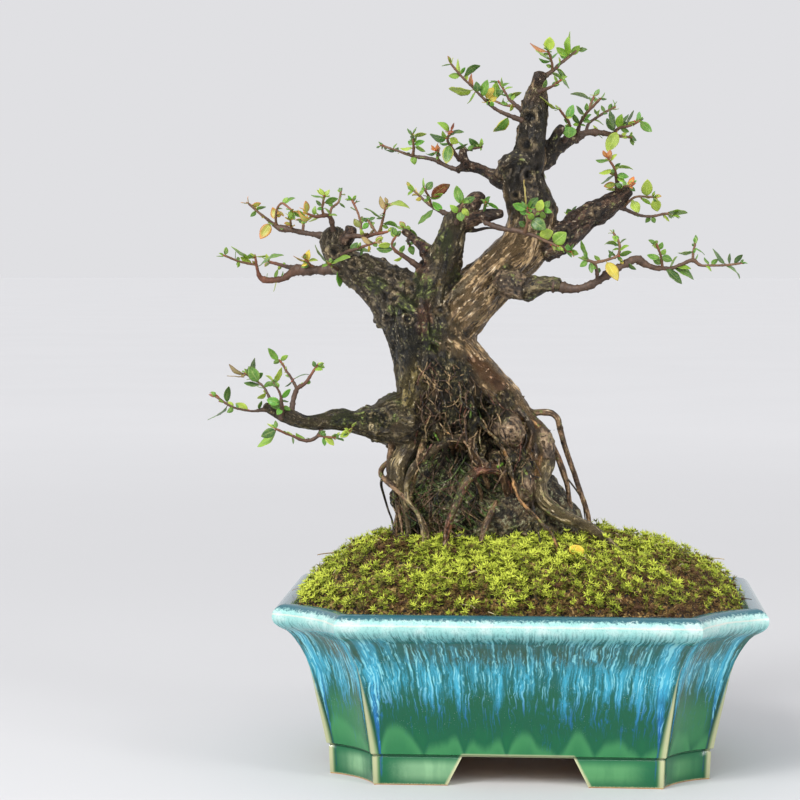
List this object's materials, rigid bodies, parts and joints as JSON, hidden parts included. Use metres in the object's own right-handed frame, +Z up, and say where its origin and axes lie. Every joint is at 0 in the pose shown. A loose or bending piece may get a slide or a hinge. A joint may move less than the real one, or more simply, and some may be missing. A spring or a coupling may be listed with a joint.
{
  "type": "potted bonsai tree",
  "caption": "Old sweet plum bonsai on exposed roots, with small leafy sprays on bare limbs, in a mossy mound in a glazed rectangular pot with indented corners.",
  "frame": {"origin": "on the ground, under the middle of the whole object's box", "axes": "+Z up, +X to the right seen from the pot's front, +Y to the back"},
  "size_m": [0.2846, 0.19, 0.3851],
  "materials": {
    "glaze": "gloss",
    "screen": "matte",
    "soil": "matte",
    "moss": "matte",
    "bark": "satin",
    "foliage": "satin"
  },
  "bodies": {
    "root": {"pot": "glaze", "drain_screen_left": "screen", "drain_screen_right": "screen", "soil": "soil", "moss": "moss", "tree": "bark", "spray_low_left_tip": "foliage", "spray_low_left_fork": "foliage", "spray_low_left_middle": "foliage", "spray_low_left_outer": "foliage", "spray_low_left_under": "foliage", "spray_low_left_inner": "foliage", "spray_left_horizontal": "foliage", "spray_left_limb_front": "foliage", "spray_knob_left": "foliage", "spray_knob_top": "foliage", "spray_knob_right": "foliage", "spray_knob_inner": "foliage", "spray_limb_fork": "foliage", "spray_twig_stub": "foliage", "spray_middle_left": "foliage", "spray_middle_front": "foliage", "spray_hook": "foliage", "spray_centre": "foliage", "spray_right_limb_low": "foliage", "spray_right_limb_back": "foliage", "spray_left_upper": "foliage", "spray_left_upper_stub": "foliage", "spray_left_upper_front": "foliage", "spray_apex_left": "foliage", "spray_apex_back": "foliage", "spray_apex_right": "foliage", "spray_apex_low_right": "foliage", "spray_upper_right": "foliage", "spray_upper_right_top": "foliage", "spray_upper_right_inner": "foliage", "spray_right_limb_top": "foliage", "spray_right_limb_right": "foliage", "spray_lower_right": "foliage", "spray_back_upper": "foliage", "spray_back_left": "foliage", "spray_back_right": "foliage"}
  },
  "joints": []
}
